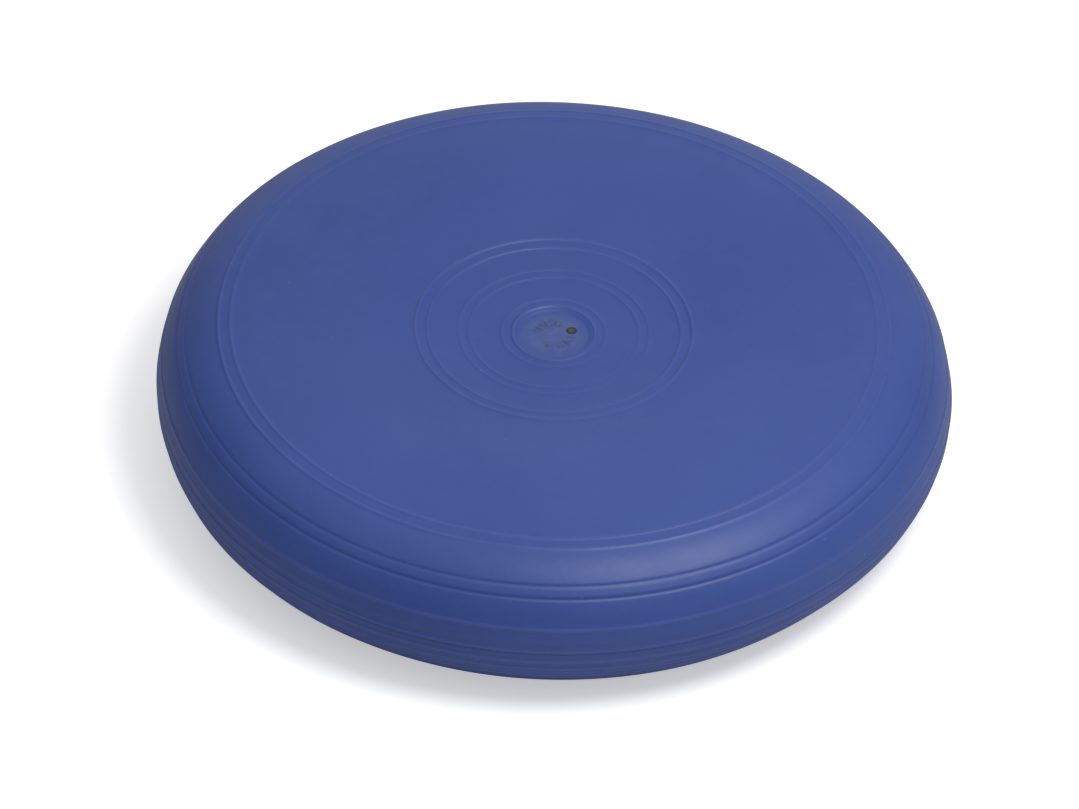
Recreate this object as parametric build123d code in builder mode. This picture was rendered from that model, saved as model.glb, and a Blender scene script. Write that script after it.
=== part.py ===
"""Air-filled balance disc: two moulded skins joined at the equator, with a needle valve in the
recess of the upper face.

Millimetres, +Z up. The origin is on the ground, under the disc's centre.
The disc is the same above and below its mid-plane, apart from the valve and the rim's ridges.
"""

import os
from math import sqrt

from build123d import *

os.makedirs("parts", exist_ok=True)

# ---- Driving dimensions of the air cushion ----
disc_radius = 165.0
disc_height = 66.0
skin_thickness = 3.0
flat_inner_radius = 110.0  # the ring-shaped flat that the disc rests on
flat_outer_radius = 122.0
rim_start_radius = 131.0
dish_depth = 7.4  # how far the face sinks from the flat to the centre
dish_floor_radius = 20.0  # the level middle of the dish
edge_fall = 0.4  # how far it falls from the flat to the start of the rim

# ---- Fine moulded lines, named by the radius or the height at which they stand ----
ridge_radii = (17.3, 21.4, 35.0, 39.2, 52.1, 57.0, 133.1, 138.2, 163.0)
groove_radii = (152.2, 155.6)
upper_rim_ridge_heights = (5.6, 1.3)  # from the mid-plane
lower_rim_ridge_heights = (4.2, 8.7, 14.2)
ridge_section_radius = 0.6
ridge_proud = 0.35
groove_section_radius = 0.7
groove_depth = 0.45

# ---- Recess at the centre of each face ----
recess_radius = 15.6
recess_floor_radius = 14.2
recess_depth = 0.7
pad_radius = 20.0  # thicker material behind the recess
pad_thickness = 4.0

# ---- Seam at the equator ----
seam_land_width = 2.0
seam_land_height = 4.0

# ---- Needle valve, off the centre of the upper recess ----
valve_x = 7.2
valve_y = 3.0
nose_radius = 2.1
nose_height = 2.0
boot_radius = 5.0
boot_flange_radius = 8.0
boot_flange_thickness = 2.0
sleeve_length = 10.0
core_radius = 2.5
core_length = 8.5
core_flange_radius = 4.0
core_flange_thickness = 1.0
slit_width = 0.3
slit_length = 3.4
slit_cover = 1.5  # solid rubber above the slit
needle_hole_radius = 0.8
stopper_clearance = 0.05
stopper_head_radius = 1.2
stopper_head_thickness = 0.6
stopper_shank_length = 6.6
stopper_tip_length = 0.8

# ---- Worked-out dimensions ----
half_height = disc_height / 2
rim_width = disc_radius - rim_start_radius
rim_height = half_height - edge_fall
face_centre_height = half_height - dish_depth
recess_floor_height = face_centre_height - recess_depth
pad_bottom_height = face_centre_height - skin_thickness - pad_thickness
mid_plane = half_height

upper_plane = Plane(origin=(0, 0, mid_plane), x_dir=(1, 0, 0), z_dir=(0, -1, 0))
lower_plane = Plane(origin=(0, 0, mid_plane), x_dir=(1, 0, 0), z_dir=(0, 1, 0))


def blend(share):
    """Smooth step from 0 to 1, level at both ends, as a cubic Bezier with level handles has it."""
    return share**2 * (3 - 2 * share)


def face_height(radius):
    """Height of the outer surface above the mid-plane: dish, flat, edge, then elliptical rim."""
    if radius < dish_floor_radius:
        return half_height - dish_depth
    if radius < flat_inner_radius:
        dish_share = (radius - dish_floor_radius) / (flat_inner_radius - dish_floor_radius)
        return half_height - dish_depth * (1 - blend(dish_share))
    if radius < flat_outer_radius:
        return half_height
    if radius < rim_start_radius:
        edge_width = rim_start_radius - flat_outer_radius
        return half_height - edge_fall * blend((radius - flat_outer_radius) / edge_width)
    return rim_height * sqrt(1 - ((radius - rim_start_radius) / rim_width) ** 2)


def rim_radius(height):
    """Radius of the outer surface at a height above the mid-plane, on the rim."""
    return rim_start_radius + rim_width * sqrt(1 - (height / rim_height) ** 2)


def level_curve(start, end):
    """Curve in the section that leaves and arrives level."""
    third = (end[0] - start[0]) / 3
    return Bezier(start, (start[0] + third, start[1]), (end[0] - third, end[1]), end)


def face_curves(lowering):
    """Dish, flat and edge of the face, lowered by the given amount."""
    high = half_height - lowering
    Line((0, high - dish_depth), (dish_floor_radius, high - dish_depth))
    level_curve((dish_floor_radius, high - dish_depth), (flat_inner_radius, high))
    Line((flat_inner_radius, high), (flat_outer_radius, high))
    level_curve((flat_outer_radius, high), (rim_start_radius, high - edge_fall))


def off_surface(point, distance):
    """The point moved along the outer surface's normal, taken as upright on the face."""
    radius, height = point
    if radius <= rim_start_radius:
        return (radius, height + distance)
    slope_r = (radius - rim_start_radius) / rim_width**2
    slope_h = height / rim_height**2
    size = sqrt(slope_r**2 + slope_h**2)
    return (radius + distance * slope_r / size, height + distance * slope_h / size)


def skin_section(plane, rim_ridge_heights):
    """Half section of one skin, from the axis to the equator, with its fine lines."""
    ridge_points = [(radius, face_height(radius)) for radius in ridge_radii]
    ridge_points += [(rim_radius(height), height) for height in rim_ridge_heights]
    groove_points = [(radius, face_height(radius)) for radius in groove_radii]
    with BuildSketch(plane) as section:
        with BuildLine():
            face_curves(0)
            EllipticalCenterArc((rim_start_radius, 0), rim_width, rim_height, arc_size=90)
            Line((disc_radius, 0), (disc_radius - skin_thickness, 0))
            EllipticalCenterArc(
                (rim_start_radius, 0),
                rim_width - skin_thickness,
                rim_height - skin_thickness,
                arc_size=90,
            )
            face_curves(skin_thickness)
            Line((0, face_centre_height - skin_thickness), (0, face_centre_height))
        make_face()
        with Locations((0, pad_bottom_height)):
            Rectangle(pad_radius, pad_thickness + 1, align=Align.MIN)
        with Locations((disc_radius - skin_thickness + 1, 0)):
            Rectangle(seam_land_width + 1, seam_land_height, align=(Align.MAX, Align.MIN))
        with Locations(*[off_surface(p, ridge_proud - ridge_section_radius) for p in ridge_points]):
            Circle(ridge_section_radius)
        with Locations(*[off_surface(p, groove_section_radius - groove_depth) for p in groove_points]):
            Circle(groove_section_radius, mode=Mode.SUBTRACT)
        with BuildLine():
            lip_height = face_height(recess_radius)
            Polyline(
                (0, recess_floor_height),
                (recess_floor_radius, recess_floor_height),
                (recess_radius, lip_height),
                (recess_radius, lip_height + 1),
                (0, lip_height + 1),
                close=True,
            )
        make_face(mode=Mode.SUBTRACT)
        with Locations((disc_radius, 0)):
            Rectangle(rim_width, rim_width, align=(Align.CENTER, Align.MAX), mode=Mode.SUBTRACT)
    return section.sketch


# ---- Upper skin, with the sleeve that holds the valve ----
sleeve_end = mid_plane + pad_bottom_height - sleeve_length
recess_floor = mid_plane + recess_floor_height
boot_shoulder = recess_floor - nose_height

with BuildPart() as upper_skin:
    add(skin_section(upper_plane, upper_rim_ridge_heights))
    revolve(axis=Axis.Z)
    with BuildSketch(Plane.XY.offset(sleeve_end)):
        with Locations((valve_x, valve_y)):
            Circle(boot_flange_radius)
    extrude(amount=sleeve_length + 1)
    with BuildSketch(Plane.XY.offset(sleeve_end)):
        with Locations((valve_x, valve_y)):
            Circle(boot_radius)
    extrude(amount=boot_shoulder - sleeve_end, mode=Mode.SUBTRACT)
    with BuildSketch(Plane.XY.offset(boot_shoulder)):
        with Locations((valve_x, valve_y)):
            Circle(nose_radius)
    extrude(amount=nose_height + 1, mode=Mode.SUBTRACT)

# ---- Lower skin, the same moulding without a valve ----
with BuildPart() as lower_skin:
    add(skin_section(lower_plane, lower_rim_ridge_heights))
    revolve(axis=Axis.Z)

# ---- Valve boot: soft rubber body with a nose that ends level with the recess floor ----
boot_end = sleeve_end - boot_flange_thickness
core_top = boot_end + core_length
counterbore_radius = stopper_head_radius + 2 * stopper_clearance

with BuildPart() as valve_boot:
    with BuildSketch(Plane.XY.offset(boot_end)):
        with Locations((valve_x, valve_y)):
            Circle(boot_flange_radius)
    extrude(amount=boot_flange_thickness)
    with BuildSketch(Plane.XY.offset(sleeve_end)):
        with Locations((valve_x, valve_y)):
            Circle(boot_radius)
    extrude(amount=boot_shoulder - sleeve_end)
    with BuildSketch(Plane.XY.offset(boot_shoulder)):
        with Locations((valve_x, valve_y)):
            Circle(nose_radius)
    extrude(amount=nose_height)
    with BuildSketch(Plane.XY.offset(boot_end)):
        with Locations((valve_x, valve_y)):
            Circle(core_radius)
    extrude(amount=core_length, mode=Mode.SUBTRACT)
    with BuildSketch(Plane.XY.offset(recess_floor)):
        with Locations((valve_x, valve_y)):
            Circle(needle_hole_radius)
    extrude(amount=core_top - recess_floor, mode=Mode.SUBTRACT)
    with BuildSketch(Plane.XY.offset(recess_floor)):
        with Locations((valve_x, valve_y)):
            Circle(counterbore_radius)
    extrude(amount=-stopper_head_thickness, mode=Mode.SUBTRACT)

# ---- Valve core: rubber plug with a slit that closes behind the needle ----
with BuildPart() as valve_core:
    with BuildSketch(Plane.XY.offset(boot_end)):
        with Locations((valve_x, valve_y)):
            Circle(core_radius)
    extrude(amount=core_length)
    with BuildSketch(Plane.XY.offset(boot_end)):
        with Locations((valve_x, valve_y)):
            Circle(core_flange_radius)
    extrude(amount=-core_flange_thickness)
    with BuildSketch(Plane.XY.offset(boot_end - core_flange_thickness)):
        with Locations((valve_x, valve_y)):
            Rectangle(slit_length, slit_width)
    extrude(amount=core_flange_thickness + core_length - slit_cover, mode=Mode.SUBTRACT)

# ---- Stopper: pin that keeps dirt out of the needle hole and pulls straight out ----
shank_radius = needle_hole_radius - stopper_clearance
head_underside = recess_floor - stopper_head_thickness
tip_start = head_underside - stopper_shank_length + stopper_tip_length

with BuildPart() as valve_stopper:
    with BuildSketch(Plane.XY.offset(head_underside)):
        with Locations((valve_x, valve_y)):
            Circle(stopper_head_radius)
    extrude(amount=stopper_head_thickness)
    with BuildSketch(Plane.XY.offset(head_underside)):
        with Locations((valve_x, valve_y)):
            Circle(shank_radius)
    extrude(amount=tip_start - head_underside)
    with BuildSketch(Plane.XY.offset(tip_start)):
        with Locations((valve_x, valve_y)):
            Circle(shank_radius)
    extrude(amount=-stopper_tip_length, taper=20)

pieces = {
    "upper_skin": upper_skin,
    "lower_skin": lower_skin,
    "valve_boot": valve_boot,
    "valve_core": valve_core,
    "valve_stopper": valve_stopper,
}
for name, piece in pieces.items():
    piece.part.label = name
    export_step(piece.part, f"parts/{name}.step")
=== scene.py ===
import math

import bpy
import numpy as np
from mathutils import Matrix, Vector


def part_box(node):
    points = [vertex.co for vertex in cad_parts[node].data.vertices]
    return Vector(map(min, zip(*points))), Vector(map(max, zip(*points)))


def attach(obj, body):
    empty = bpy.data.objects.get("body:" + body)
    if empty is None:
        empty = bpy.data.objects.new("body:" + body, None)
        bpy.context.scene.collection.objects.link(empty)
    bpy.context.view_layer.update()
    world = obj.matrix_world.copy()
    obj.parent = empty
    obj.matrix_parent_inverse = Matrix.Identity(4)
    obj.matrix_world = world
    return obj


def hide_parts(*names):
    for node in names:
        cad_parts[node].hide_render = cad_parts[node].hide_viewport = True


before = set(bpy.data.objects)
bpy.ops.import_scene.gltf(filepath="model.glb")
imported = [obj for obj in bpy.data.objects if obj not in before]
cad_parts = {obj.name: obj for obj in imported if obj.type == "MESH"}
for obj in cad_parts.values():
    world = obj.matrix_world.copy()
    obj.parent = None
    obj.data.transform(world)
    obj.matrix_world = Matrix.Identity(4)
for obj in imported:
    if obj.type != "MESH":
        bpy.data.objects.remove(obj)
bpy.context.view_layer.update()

# The balance disc's two skins are built here in fine detail, and stand for the plain CAD skins.
# The valve's pieces stay as the CAD has them, with better materials.
# The skins' section is worked out in millimetres, as height above the mid-plane against radius.
MM = 0.001

# ---- Sizes that the frame gives ----
upper_low, upper_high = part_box("upper_skin")
boot_low, boot_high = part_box("valve_boot")

RIDGE_PROUD = 0.35  # how far the CAD's widest ridge stands out from the rim
mid_plane = upper_low.z / MM
half_height = (upper_high.z - upper_low.z) / MM
disc_radius = upper_high.x / MM - RIDGE_PROUD
valve_centre = ((boot_low.x + boot_high.x) / 2 / MM, (boot_low.y + boot_high.y) / 2 / MM)
boot_flange_radius = (boot_high.x - boot_low.x) / 2 / MM
recess_floor_height = boot_high.z / MM - mid_plane

# ---- The skins' section ----
SKIN_THICKNESS = 3.0
FLAT_INNER_RADIUS = 110.0
FLAT_OUTER_RADIUS = 122.0
RIM_START_RADIUS = 131.0
DISH_DEPTH = 7.4
DISH_FLOOR_RADIUS = 20.0
EDGE_FALL = 0.4
RECESS_FLOOR_RADIUS = 13.8  # the wall of the recess is a little softer than the CAD's
RECESS_RADIUS = 16.0
PAD_RADIUS = 20.0
PAD_THICKNESS = 4.0
SEAM_LAND_WIDTH = 2.0
SEAM_LAND_HEIGHT = 4.0
BOOT_FLANGE_THICKNESS = 2.0
BOOT_RADIUS = 5.0
NOSE_RADIUS = 2.15  # of the hole round the valve's nose, which is a little narrower
NOSE_HEIGHT = 2.0
MOUTH_ROUNDING = 0.3
pad_height = half_height - DISH_DEPTH - SKIN_THICKNESS - PAD_THICKNESS

# Fine lines. Each is (radius on the face or height on the rim, how far it stands out, half width,
# how uneven it is, the direction in degrees in which it is strongest). Rim heights are counted from
# the mid-plane, and a line that stands out by less than 0 is a groove.
FACE_LINES = [
    (17.0, 0.60, 1.10, 0.4, 105),
    (21.4, 0.30, 1.10, 0.3, 110),
    (35.0, 0.32, 1.10, 0.5, 120),
    (39.2, 0.30, 1.10, 0.5, 130),
    (52.1, 0.40, 1.20, 0.2, 120),
    (57.0, 0.42, 1.20, 0.2, 150),
    (132.9, 0.30, 1.25, 0.2, 250),
    (138.0, 0.34, 1.25, 0.2, 200),
    (152.6, -0.25, 1.30, 0.2, 270),
    (156.3, -0.32, 1.30, 0.2, 270),
    (163.0, 0.38, 1.50, 0.3, 260),
]
UPPER_RIM_LINES = [
    (5.6, 0.16, 1.60, 0.5, 220),
    (1.3, 0.46, 1.50, 0.2, 280),
]
LOWER_RIM_LINES = [
    (4.2, 0.48, 1.70, 0.2, 260),
    (8.7, 0.46, 1.70, 0.3, 250),
    (14.2, 0.46, 1.80, 0.3, 270),
]
SEAM_GROOVE = (0.0, -0.09, 0.35, 0.2, 0)

# Where the rim is a little narrower than a true circle: (direction and half width in degrees, by
# how many millimetres)
FLATTER_STRETCHES = [
    (186, 52, 2.0),
    (318, 34, 0.7),
]

# ---- How uneven the moulding is ----
LINE_DRIFT = 0.10  # how far a line wanders sideways
LINE_CHANGE = 0.12  # how much its strength comes and goes
SLOW_SWELL = 0.22  # how far the air cushion swells and sinks
QUICK_SWELL = 0.08
FLAT_FADE = 14.0  # the swell fades in over these distances, from the flat, the seam and the recess
SEAM_FADE = 8.0
RECESS_FADE = 10.0

# ---- Mesh density: columns round the disc, and millimetres from row to row ----
COLUMNS = 360
FACE_SPACING = 3.2
RIM_SPACING = 1.3
RECESS_SPACING = 0.4
RECESS_MARGIN = 1.0
LINE_SPACING = 0.28
LINE_MARGIN = 1.05  # how far the close rows reach, as a share of the line's half width
ROWS_IN_HALF_LINE = 2.5  # at least
INNER_RIM_ROWS = 12
FACE_SAMPLES = 3000  # of the smooth curve on which the rows are then placed
RIM_SAMPLES = 1500

FULL_RELIEF = 0.42  # how far a line stands out when it is coloured fully

angles = np.linspace(0, 2 * math.pi, COLUMNS, endpoint=False)


def smooth_step(share):
    """0 up to 0 and 1 from 1 on, level at both ends."""
    share = np.clip(share, 0, 1)
    return share**2 * (3 - 2 * share)


def face_height(radius):
    """Height of the face inside the rim, with the recess at its centre."""
    dish_share = (radius - DISH_FLOOR_RADIUS) / (FLAT_INNER_RADIUS - DISH_FLOOR_RADIUS)
    height = half_height - DISH_DEPTH * (1 - smooth_step(dish_share))
    edge_share = (radius - FLAT_OUTER_RADIUS) / (RIM_START_RADIUS - FLAT_OUTER_RADIUS)
    height = height - EDGE_FALL * smooth_step(edge_share)
    wall = smooth_step((radius - RECESS_FLOOR_RADIUS) / (RECESS_RADIUS - RECESS_FLOOR_RADIUS))
    return recess_floor_height + (height - recess_floor_height) * wall


def outer_curve():
    """Dense points (radius, height) of the smooth outer surface, from the recess floor to the seam."""
    face = np.linspace(RECESS_FLOOR_RADIUS, RIM_START_RADIUS, FACE_SAMPLES)
    turn = np.linspace(math.pi / 2, 0, RIM_SAMPLES)[1:]
    radius = RIM_START_RADIUS + (disc_radius - RIM_START_RADIUS) * np.cos(turn)
    height = (half_height - EDGE_FALL) * np.sin(turn)
    return np.concatenate([face, radius]), np.concatenate([face_height(face), height])


def waves(seed, orders):
    """A smooth uneven curve round the disc, between about -1 and 1, the same for the same seed."""
    draw = np.random.default_rng(seed)
    parts = [draw.uniform(0.5, 1) * np.cos(k * angles + draw.uniform(0, 2 * math.pi)) for k in orders]
    return sum(parts) / len(orders)


def row(centre, radius, height):
    """One closed row of points; the radius and the height are one number or one for each column."""
    x = centre[0] + radius * np.cos(angles)
    y = centre[1] + radius * np.sin(angles)
    return np.stack([x, y, np.broadcast_to(height, angles.shape)], -1)


def placed_lines(radius, height, length, rim_lines):
    """All the fine lines, each with its length along the curve in place of its radius or height."""
    lines = [(np.interp(line[0], radius, length), *line[1:]) for line in FACE_LINES]
    rim = radius > RIM_START_RADIUS
    for line in rim_lines + [SEAM_GROOVE]:
        lines.append((np.interp(line[0], height[rim][::-1], length[rim][::-1]), *line[1:]))
    return lines


def row_places(radius, length, lines):
    """The rows' lengths along the curve: close together in the recess and in each line."""
    spacing = np.where(radius < RIM_START_RADIUS, FACE_SPACING, RIM_SPACING)
    spacing = np.where(radius < RECESS_RADIUS + RECESS_MARGIN, RECESS_SPACING, spacing)
    for place, _, half_width, _, _ in lines:
        close = min(LINE_SPACING, half_width / ROWS_IN_HALF_LINE)
        spacing = np.where(np.abs(length - place) < half_width * LINE_MARGIN, close, spacing)
    count = np.concatenate([[0], np.cumsum(np.diff(length) / spacing[1:])])
    return np.interp(np.linspace(0, count[-1], round(count[-1]) + 1), count, length)


def line_heights(places, lines, seed):
    """How far each point stands out because of the fine lines, by row and column."""
    heights = np.zeros((len(places), COLUMNS))
    for index, (place, proud, half_width, uneven, strongest) in enumerate(lines):
        drift = LINE_DRIFT * waves(seed + index, (2, 3, 5))
        turn = angles - math.radians(strongest)
        strength = 1 - uneven * (0.5 - 0.5 * np.cos(turn))
        strength += LINE_CHANGE * waves(seed + 50 + index, (3, 7, 11, 17))
        away = np.abs(places[:, None] - place - drift[None, :]) / half_width
        bump = np.where(away < 1, 0.5 + 0.5 * np.cos(math.pi * np.minimum(away, 1)), 0)
        heights += proud * bump * strength[None, :]
    return heights


def cushion_heights(radius, height, seed):
    """How far each point stands out because the air cushion isn't perfectly even or round."""
    flat_middle = (FLAT_INNER_RADIUS + FLAT_OUTER_RADIUS) / 2
    off_flat = smooth_step(np.abs(radius - flat_middle) / FLAT_FADE - 0.5)
    off_seam = smooth_step(height / SEAM_FADE)
    off_recess = smooth_step((radius - RECESS_FLOOR_RADIUS) / RECESS_FADE)
    swell = SLOW_SWELL * waves(seed + 90, (2, 3, 4)) + QUICK_SWELL * waves(seed + 91, (7, 9, 13))
    heights = (off_flat * off_seam * off_recess)[:, None] * swell[None, :]
    on_rim = smooth_step((radius - FLAT_OUTER_RADIUS) / (disc_radius - FLAT_OUTER_RADIUS))
    for direction, half_stretch, amount in FLATTER_STRETCHES:
        turn = np.abs((np.degrees(angles) - direction + 180) % 360 - 180) / half_stretch
        heights -= amount * on_rim[:, None] * (1 - smooth_step(turn))[None, :]
    return heights


def outer_rows(rim_lines, seed):
    """Rows of the outer surface, and each point's relief: 1 on a full ridge, below 0 in a groove."""
    radius, height = outer_curve()
    length = np.concatenate([[0], np.cumsum(np.hypot(np.diff(radius), np.diff(height)))])
    lines = placed_lines(radius, height, length, rim_lines)
    places = row_places(radius, length, lines)

    along_r, along_h = np.gradient(radius, length), np.gradient(height, length)
    out_r, out_h = np.interp(places, length, -along_h), np.interp(places, length, along_r)
    base_r, base_h = np.interp(places, length, radius), np.interp(places, length, height)

    in_lines = line_heights(places, lines, seed)
    stands_out = in_lines + cushion_heights(base_r, base_h, seed)
    rows = [
        row((0, 0), base_r[i] + out_r[i] * stands_out[i], base_h[i] + out_h[i] * stands_out[i])
        for i in range(len(places))
    ]
    return rows, in_lines / FULL_RELIEF


def inner_rows():
    """Rows of the inside, from the seam to the edge of the pad behind the recess."""
    land_radius = disc_radius - SKIN_THICKNESS - SEAM_LAND_WIDTH
    width = disc_radius - RIM_START_RADIUS - SKIN_THICKNESS
    high = half_height - EDGE_FALL - SKIN_THICKNESS
    start = math.asin(SEAM_LAND_HEIGHT / high)
    rows = [row((0, 0), land_radius, 0.0), row((0, 0), land_radius, SEAM_LAND_HEIGHT)]
    for turn in np.linspace(start, math.pi / 2, INNER_RIM_ROWS):
        rows.append(row((0, 0), RIM_START_RADIUS + width * math.cos(turn), high * math.sin(turn)))
    for radius in (FLAT_OUTER_RADIUS, FLAT_INNER_RADIUS, 90.0, 65.0, 40.0, PAD_RADIUS):
        rows.append(row((0, 0), radius, float(face_height(radius)) - SKIN_THICKNESS))
    return rows


def between(circle_a, circle_b, shares):
    """Rows that pass from one circle to another; a circle is (centre x, centre y, radius, height)."""
    a, b = np.array(circle_a, float), np.array(circle_b, float)
    rows = []
    for share in shares:
        x, y, radius, height = a + (b - a) * share
        rows.append(row((x, y), radius, height))
    return rows


def grid_mesh(name, rows, relief, side, joined):
    """A closed skin from rows of points. side is 1 for the upper skin, -1 for the lower one.

    Joined rows run on from the last one to the first; otherwise both ends are closed with a point.
    """
    points = np.concatenate(rows)
    points[:, 2] = mid_plane + side * points[:, 2]
    row_count = len(rows)
    index = np.arange(row_count * COLUMNS).reshape(row_count, COLUMNS)
    following = np.roll(index, -1, axis=1)
    if joined:
        below, below_following = np.roll(index, -1, axis=0), np.roll(following, -1, axis=0)
    else:
        below, below_following = index[1:], following[1:]
        index, following = index[:-1], following[:-1]
    faces = np.stack([index, below, below_following, following], -1).reshape(-1, 4).tolist()
    if not joined:
        first, last = len(points), len(points) + 1
        ends = [points[:COLUMNS].mean(0), points[-COLUMNS:].mean(0)]
        points = np.concatenate([points, ends])
        last_row = (row_count - 1) * COLUMNS
        for column in range(COLUMNS):
            after = (column + 1) % COLUMNS
            faces.append([first, column, after])
            faces.append([last, last_row + after, last_row + column])
    if side < 0:
        faces = [face[::-1] for face in faces]
    mesh = bpy.data.meshes.new(name)
    mesh.from_pydata((points * MM).tolist(), [], faces)
    mesh.polygons.foreach_set("use_smooth", [True] * len(mesh.polygons))
    values = np.zeros(len(points), np.float32)
    values[: len(relief)] = relief
    mesh.attributes.new("relief", "FLOAT", "POINT").data.foreach_set("value", values)
    mesh.update()
    piece = bpy.data.objects.new(name, mesh)
    bpy.context.scene.collection.objects.link(piece)
    return piece


def relief_values(rows_before, relief):
    """The relief of each point from the first row on, 0 in the rows before the outer surface."""
    return np.concatenate([np.zeros(rows_before * COLUMNS), relief.ravel()])


def upper_skin():
    """From the valve's mouth over the face and rim to the seam, then back inside to the valve."""
    vx, vy = valve_centre
    floor = recess_floor_height
    mouth = (vx, vy, NOSE_RADIUS + MOUTH_ROUNDING, floor)
    floor_edge = (0, 0, RECESS_FLOOR_RADIUS, floor)
    rows = []
    for turn in np.linspace(0, math.pi / 2, 4)[:-1]:
        radius = NOSE_RADIUS + MOUTH_ROUNDING * (1 - math.cos(turn))
        rows.append(row(valve_centre, radius, floor - MOUTH_ROUNDING * (1 - math.sin(turn))))
    rows += between(mouth, floor_edge, np.linspace(0, 1, 9)[:-1])
    before = len(rows)
    outer, relief = outer_rows(UPPER_RIM_LINES, seed=11)
    rows += outer + inner_rows()
    pad_edge = (0, 0, PAD_RADIUS, pad_height)
    sleeve_top = (vx, vy, boot_flange_radius, pad_height)
    rows += between(pad_edge, sleeve_top, np.linspace(0, 1, 5))
    sleeve_end = boot_low.z / MM + BOOT_FLANGE_THICKNESS - mid_plane
    shoulder = floor - NOSE_HEIGHT
    for radius, height in (
        (boot_flange_radius, sleeve_end),
        (BOOT_RADIUS, sleeve_end),
        (BOOT_RADIUS, shoulder),
        (NOSE_RADIUS, shoulder),
    ):
        rows.append(row(valve_centre, radius, height))
    return grid_mesh("upper_skin_soft", rows, relief_values(before, relief), 1, joined=True)


def lower_skin():
    """The same moulding, closed in the middle because it has no valve."""
    rows = [row((0, 0), radius, recess_floor_height) for radius in (1.0, 4.0, 7.0, 10.0, 12.0)]
    before = len(rows)
    outer, relief = outer_rows(LOWER_RIM_LINES, seed=211)
    rows += outer + inner_rows()
    rows += [row((0, 0), radius, pad_height) for radius in (PAD_RADIUS, 12.0, 5.0, 1.0)]
    return grid_mesh("lower_skin_soft", rows, relief_values(before, relief), -1, joined=False)


# ---- Materials ----
class Nodes:
    """Short ways to add shader nodes to one material."""

    def __init__(self, name):
        self.material = bpy.data.materials.new(name)
        self.material.use_nodes = True
        self.tree = self.material.node_tree
        self.shader = self.tree.nodes["Principled BSDF"]
        self.place = self.add("ShaderNodeTexCoord").outputs["Object"]

    def add(self, kind, **settings):
        node = self.tree.nodes.new(kind)
        for key, value in settings.items():
            setattr(node, key, value)
        return node

    def put(self, value, socket):
        if isinstance(value, bpy.types.NodeSocket):
            self.tree.links.new(value, socket)
        else:
            socket.default_value = value

    def noise(self, scale, detail=3.0, roughness=0.5):
        node = self.add("ShaderNodeTexNoise")
        self.put(self.place, node.inputs["Vector"])
        node.inputs["Scale"].default_value = scale
        node.inputs["Detail"].default_value = detail
        node.inputs["Roughness"].default_value = roughness
        return node.outputs["Fac"]

    def math(self, operation, a, b=0.0, c=0.0):
        node = self.add("ShaderNodeMath", operation=operation)
        for value, socket in zip((a, b, c), node.inputs):
            self.put(value, socket)
        return node.outputs[0]

    def scaled(self, value, from_low, from_high, low, high):
        node = self.add("ShaderNodeMapRange", clamp=True)
        for amount, socket in zip((value, from_low, from_high, low, high), node.inputs):
            self.put(amount, socket)
        return node.outputs[0]

    def mix(self, share, a, b):
        """Colour a where the share is 0 and b where it is 1; 6, 7 and 2 are the colour sockets."""
        node = self.add("ShaderNodeMix", data_type="RGBA")
        self.put(share, node.inputs["Factor"])
        self.put(a, node.inputs[6])
        self.put(b, node.inputs[7])
        return node.outputs[2]

    def from_axis(self):
        """Distance from the disc's axis, angle round it and height, in metres and radians."""
        split = self.add("ShaderNodeSeparateXYZ")
        self.put(self.place, split.inputs[0])
        x, y, z = split.outputs
        squares = self.math("ADD", self.math("MULTIPLY", x, x), self.math("MULTIPLY", y, y))
        return self.math("SQRT", squares), self.math("ARCTAN2", y, x), z

    def bump(self, height, distance, normal=None):
        node = self.add("ShaderNodeBump")
        node.inputs["Strength"].default_value = 1.0
        node.inputs["Distance"].default_value = distance
        self.put(height, node.inputs["Height"])
        if normal is not None:
            self.put(normal, node.inputs["Normal"])
        return node.outputs["Normal"]


def colour(red, green, blue):
    return (red, green, blue, 1.0)


PVC_DEEP = colour(0.031, 0.066, 0.276)
PVC_LIGHTER = colour(0.038, 0.077, 0.300)
PVC_CLOUDED = colour(0.054, 0.093, 0.308)
# Ridge tops lighter: partly rubbing wear, partly a painted highlight.
PVC_RUBBED_AND_HIGHLIGHT = colour(0.085, 0.120, 0.370)
# Painted shade: the grooves are coloured a darker blue.
PVC_GROOVE_SHADE = colour(0.012, 0.028, 0.130)
PVC_IOR = 1.43
DUST = colour(0.22, 0.27, 0.45)
GRIME = colour(0.130, 0.165, 0.285)
GRIME_INNER_RADIUS = 0.010
GRIME_OUTER_RADIUS = 0.015

# The worn print on the recess floor, in metres and radians
PRINT_INK = colour(0.026, 0.044, 0.052)
PRINT_STRENGTH = 0.72
PRINT_RADIUS = 0.0070
PRINT_HALF_WIDTH = 0.0023
PRINT_TICKS = 22.0
PRINT_TURN = -0.44


def print_mask(n, radius, angle, height):
    """A worn ring of short ticks on the recess floor, in two broken arcs."""
    off_ring = n.math("ABSOLUTE", n.math("SUBTRACT", radius, PRINT_RADIUS))
    in_ring = n.scaled(off_ring, PRINT_HALF_WIDTH * 0.6, PRINT_HALF_WIDTH, 1.0, 0.0)
    tick = n.math("SINE", n.math("MULTIPLY", angle, PRINT_TICKS))
    in_tick = n.scaled(tick, -0.6, 0.6, 0.35, 1.0)
    arcs = n.math("ABSOLUTE", n.math("SINE", n.math("ADD", angle, PRINT_TURN)))
    in_arc = n.scaled(arcs, 0.35, 0.65, 0.0, 1.0)
    worn = n.scaled(n.noise(420.0, 3.0, 0.6), 0.42, 0.58, 0.1, 1.0)
    on_top = n.scaled(height, (mid_plane + 2) * MM, (mid_plane + 4) * MM, 0.0, 1.0)
    mask = n.math("MULTIPLY", in_ring, in_tick)
    for part in (in_arc, worn, on_top):
        mask = n.math("MULTIPLY", mask, part)
    return mask


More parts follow.
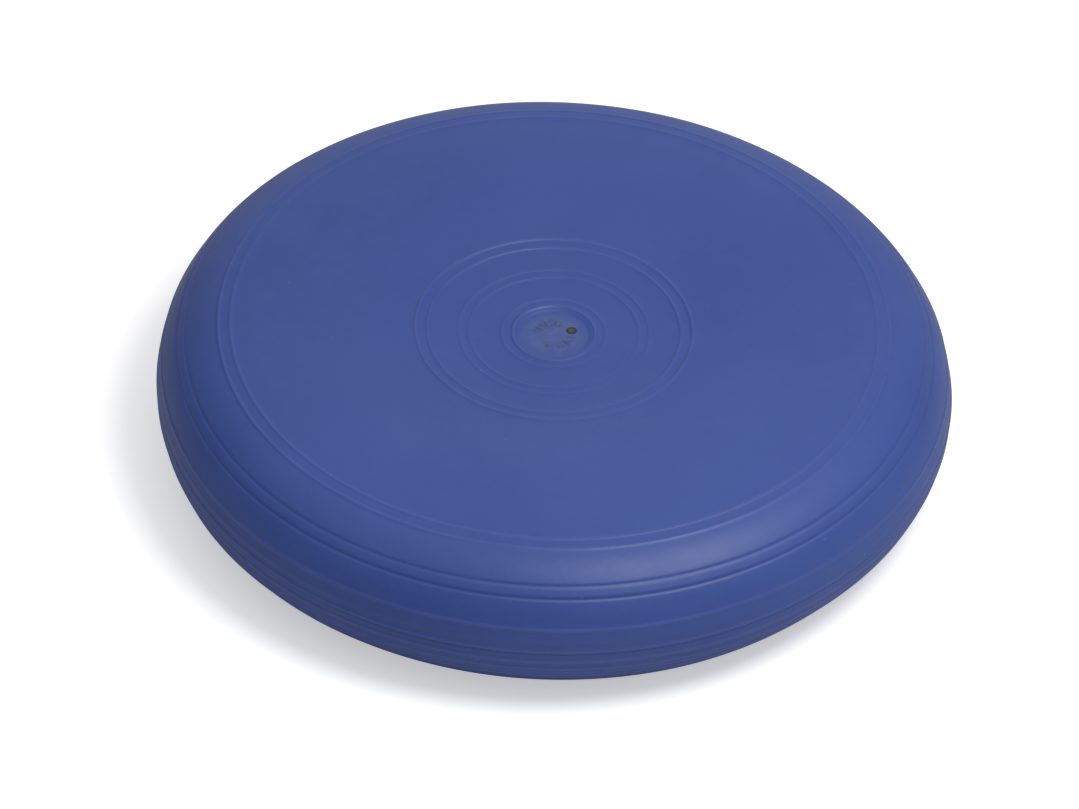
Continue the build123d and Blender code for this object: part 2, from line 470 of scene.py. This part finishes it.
def skin_material(name, printed):
    """Satin moulded PVC: faint cloudiness, ridges lighter from rubbing and a painted highlight,
    painted shade in the grooves, dust specks and a fine orange peel.
    """
    n = Nodes(name)
    radius, angle, height = n.from_axis()
    cloud = n.scaled(n.noise(11.0), 0.35, 0.65, 0.0, 1.0)
    base = n.mix(cloud, PVC_DEEP, PVC_LIGHTER)
    fine_cloud = n.scaled(n.noise(190.0, 4.0, 0.6), 0.3, 0.7, 0.0, 0.22)
    base = n.mix(fine_cloud, base, PVC_CLOUDED)
    relief = n.add("ShaderNodeAttribute", attribute_name="relief").outputs["Fac"]
    # Ridge tops lighter: partly rubbing wear, partly a painted highlight.
    rub_and_highlight_strength = n.scaled(n.noise(70.0, 4.0, 0.6), 0.35, 0.7, 0.15, 0.42)
    ridge_rub_and_highlight = n.math("MULTIPLY", n.scaled(relief, 0.25, 1.0, 0.0, 1.0), rub_and_highlight_strength)
    base = n.mix(ridge_rub_and_highlight, base, PVC_RUBBED_AND_HIGHLIGHT)
    # Painted shade: the grooves are coloured a darker blue.
    base = n.mix(n.scaled(relief, -0.2, -1.0, 0.0, 0.32), base, PVC_GROOVE_SHADE)
    speck = n.add("ShaderNodeTexVoronoi")
    n.put(n.place, speck.inputs["Vector"])
    speck.inputs["Scale"].default_value = 95.0
    chosen = n.scaled(n.noise(61.0, 2.0), 0.56, 0.64, 0.0, 1.0)
    dust = n.math("MULTIPLY", n.scaled(speck.outputs["Distance"], 0.025, 0.06, 0.40, 0.0), chosen)
    base = n.mix(dust, base, DUST)
    in_recess = n.scaled(radius, GRIME_INNER_RADIUS, GRIME_OUTER_RADIUS, 1.0, 0.0)
    grime = n.scaled(n.noise(240.0, 3.0, 0.6), 0.3, 0.7, 0.10, 0.40)
    base = n.mix(n.math("MULTIPLY", in_recess, grime), base, GRIME)
    if printed:
        mask = n.math("MULTIPLY", print_mask(n, radius, angle, height), PRINT_STRENGTH)
        base = n.mix(mask, base, PRINT_INK)
    n.put(base, n.shader.inputs["Base Color"])
    n.put(n.scaled(n.noise(34.0, 5.0, 0.6), 0.3, 0.7, 0.41, 0.49), n.shader.inputs["Roughness"])
    peel = n.bump(n.noise(1100.0, 3.0, 0.5), 0.00003)
    n.put(n.bump(n.noise(330.0, 3.0, 0.5), 0.00005, peel), n.shader.inputs["Normal"])
    n.shader.inputs["IOR"].default_value = PVC_IOR
    return n.material


def rubber_material():
    """Dark matte rubber with dust in its pores."""
    n = Nodes("valve_rubber_dark")
    dusty = n.scaled(n.noise(900.0, 4.0, 0.6), 0.45, 0.7, 0.0, 0.5)
    tone = n.mix(dusty, colour(0.018, 0.026, 0.028), colour(0.055, 0.070, 0.085))
    n.put(tone, n.shader.inputs["Base Color"])
    n.put(n.scaled(n.noise(700.0), 0.3, 0.7, 0.55, 0.75), n.shader.inputs["Roughness"])
    n.put(n.bump(n.noise(2600.0, 3.0, 0.6), 0.00003), n.shader.inputs["Normal"])
    return n.material


def stopper_material():
    """Dark grey-green moulded plastic, a little scuffed."""
    n = Nodes("stopper_plastic")
    scuffed = n.scaled(n.noise(1400.0, 4.0, 0.6), 0.4, 0.7, 0.0, 0.6)
    tone = n.mix(scuffed, colour(0.032, 0.050, 0.036), colour(0.072, 0.095, 0.078))
    n.put(tone, n.shader.inputs["Base Color"])
    n.put(n.scaled(n.noise(900.0), 0.3, 0.7, 0.38, 0.55), n.shader.inputs["Roughness"])
    n.put(n.bump(n.noise(3200.0, 2.0, 0.5), 0.00002), n.shader.inputs["Normal"])
    return n.material


FLOOR_PLAIN = colour(0.84, 0.84, 0.84)
FLOOR_CLOUDED = colour(0.86, 0.86, 0.855)
FLOOR_IN_REFLECTIONS = colour(0.56, 0.56, 0.56)
FLOOR_GLOW = 0.46


def floor_material():
    """White studio floor that glows a little to the camera and is dimmer in reflections."""
    n = Nodes("studio_floor")
    n.shader.inputs["Roughness"].default_value = 0.9
    n.shader.inputs["Specular IOR Level"].default_value = 0.1
    n.shader.inputs["Emission Color"].default_value = colour(1, 1, 1)
    path = n.add("ShaderNodeLightPath").outputs
    cloud = n.scaled(n.noise(2.0), 0.3, 0.7, 0.0, 1.0)
    tone = n.mix(cloud, FLOOR_PLAIN, FLOOR_CLOUDED)
    tone = n.mix(path["Is Glossy Ray"], tone, FLOOR_IN_REFLECTIONS)
    n.put(tone, n.shader.inputs["Base Color"])
    n.put(n.math("MULTIPLY", path["Is Camera Ray"], FLOOR_GLOW), n.shader.inputs["Emission Strength"])
    return n.material


# ---- The object ----
for piece, node in ((upper_skin(), "upper_skin"), (lower_skin(), "lower_skin")):
    piece.data.materials.append(skin_material(node + "_pvc", printed=node == "upper_skin"))
    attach(piece, "disc")
    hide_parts(node)

rubber = rubber_material()
for node, material in (
    ("valve_boot", rubber),
    ("valve_core", rubber),
    ("valve_stopper", stopper_material()),
):
    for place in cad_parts[node].material_slots:
        place.material = material

# ---- Floor, light and camera ----
FLOOR_REACH = 12.0  # from the disc to the floor's edge
FLOOR_SQUARES = 12  # in each direction


def floor():
    """A very large plain floor, as a grid of squares."""
    across = FLOOR_SQUARES + 1
    steps = np.linspace(-FLOOR_REACH, FLOOR_REACH, across)
    points = [(x, y, 0.0) for y in steps for x in steps]
    corners = [across * j + i for j in range(FLOOR_SQUARES) for i in range(FLOOR_SQUARES)]
    faces = [(first, first + 1, first + across + 1, first + across) for first in corners]
    mesh = bpy.data.meshes.new("floor")
    mesh.from_pydata(points, [], faces)
    piece = bpy.data.objects.new("floor", mesh)
    bpy.context.scene.collection.objects.link(piece)
    mesh.materials.append(floor_material())


def soft_light(name, towards, distance, width, strength):
    """A round soft light, aimed at the disc; the strength is about what reaches it, in W/m2."""
    light = bpy.data.lights.new(name, "AREA")
    light.shape = "DISK"
    light.size = width
    light.energy = strength * math.pi * distance**2
    lamp = bpy.data.objects.new(name, light)
    direction = Vector(towards).normalized()
    turn = direction.to_track_quat("Z", "Y").to_matrix().to_4x4()
    lamp.matrix_world = Matrix.Translation(direction * distance) @ turn
    bpy.context.scene.collection.objects.link(lamp)


BACK_BAND_START = 0.76  # how far towards the back a direction points where the back band begins
BACK_BAND_FULL = 0.96


def surroundings(horizon, overhead, from_right, from_back):
    """A room, bright overhead and low at the back, dim at the horizon, white to the camera."""
    world = bpy.data.worlds.new("studio")
    world.use_nodes = True
    tree = world.node_tree

    def value(socket, amount):
        if isinstance(amount, bpy.types.NodeSocket):
            tree.links.new(amount, socket)
        else:
            socket.default_value = amount

    def math_node(operation, *amounts):
        node = tree.nodes.new("ShaderNodeMath")
        node.operation = operation
        for socket, amount in zip(node.inputs, amounts):
            value(socket, amount)
        return node.outputs[0]

    def scaled(*amounts):
        node = tree.nodes.new("ShaderNodeMapRange")
        for socket, amount in zip(node.inputs, amounts):
            value(socket, amount)
        return node.outputs["Result"]

    split = tree.nodes.new("ShaderNodeSeparateXYZ")
    tree.links.new(tree.nodes.new("ShaderNodeTexCoord").outputs["Generated"], split.inputs[0])
    x, y, z = split.outputs
    upward = scaled(math_node("MULTIPLY", z, z), 0.0, 1.0, horizon, overhead)
    lit = math_node("MULTIPLY", upward, math_node("MULTIPLY_ADD", x, from_right, 1.0))
    lit = math_node("ADD", lit, scaled(y, BACK_BAND_START, BACK_BAND_FULL, 0.0, from_back))
    seen = tree.nodes.new("ShaderNodeLightPath").outputs["Is Camera Ray"]
    shade = tree.nodes["Background"]
    shade.inputs["Color"].default_value = colour(1, 1, 1)
    value(shade.inputs["Strength"], math_node("MAXIMUM", lit, seen))
    bpy.context.scene.world = world


CAMERA_ELEVATION = math.radians(41.284)
CAMERA_ROLL = math.radians(2.105)
CAMERA_DISTANCE = 2.66
CAMERA_LENS = 216.3
AIM_RIGHT = -0.0061  # where the view's centre is, seen from the point at TOP_HEIGHT on the axis
AIM_UP = -0.0345
TOP_HEIGHT = 0.0655


def camera():
    """The camera, in front of the disc and above it, turned a little."""
    level_up = Vector((0, math.sin(CAMERA_ELEVATION), math.cos(CAMERA_ELEVATION)))
    back = Vector((0, -math.cos(CAMERA_ELEVATION), math.sin(CAMERA_ELEVATION)))
    right = Vector((1, 0, 0)) * math.cos(CAMERA_ROLL) + level_up * math.sin(CAMERA_ROLL)
    up = back.cross(right)
    place = Vector((0, 0, TOP_HEIGHT)) + right * AIM_RIGHT + up * AIM_UP + back * CAMERA_DISTANCE
    data = bpy.data.cameras.new("camera")
    data.lens = CAMERA_LENS
    data.sensor_width = 36
    data.clip_end = 60
    made = bpy.data.objects.new("camera", data)
    made.matrix_world = Matrix.Translation(place) @ Matrix((right, up, back)).transposed().to_4x4()
    bpy.context.scene.collection.objects.link(made)
    bpy.context.scene.camera = made


floor()
soft_light("key", towards=(0.35, -0.25, 0.91), distance=1.0, width=0.48, strength=1.68)
surroundings(horizon=0.17, overhead=0.80, from_right=0.25, from_back=0.62)
camera()
bpy.context.scene.view_settings.view_transform = "Standard"
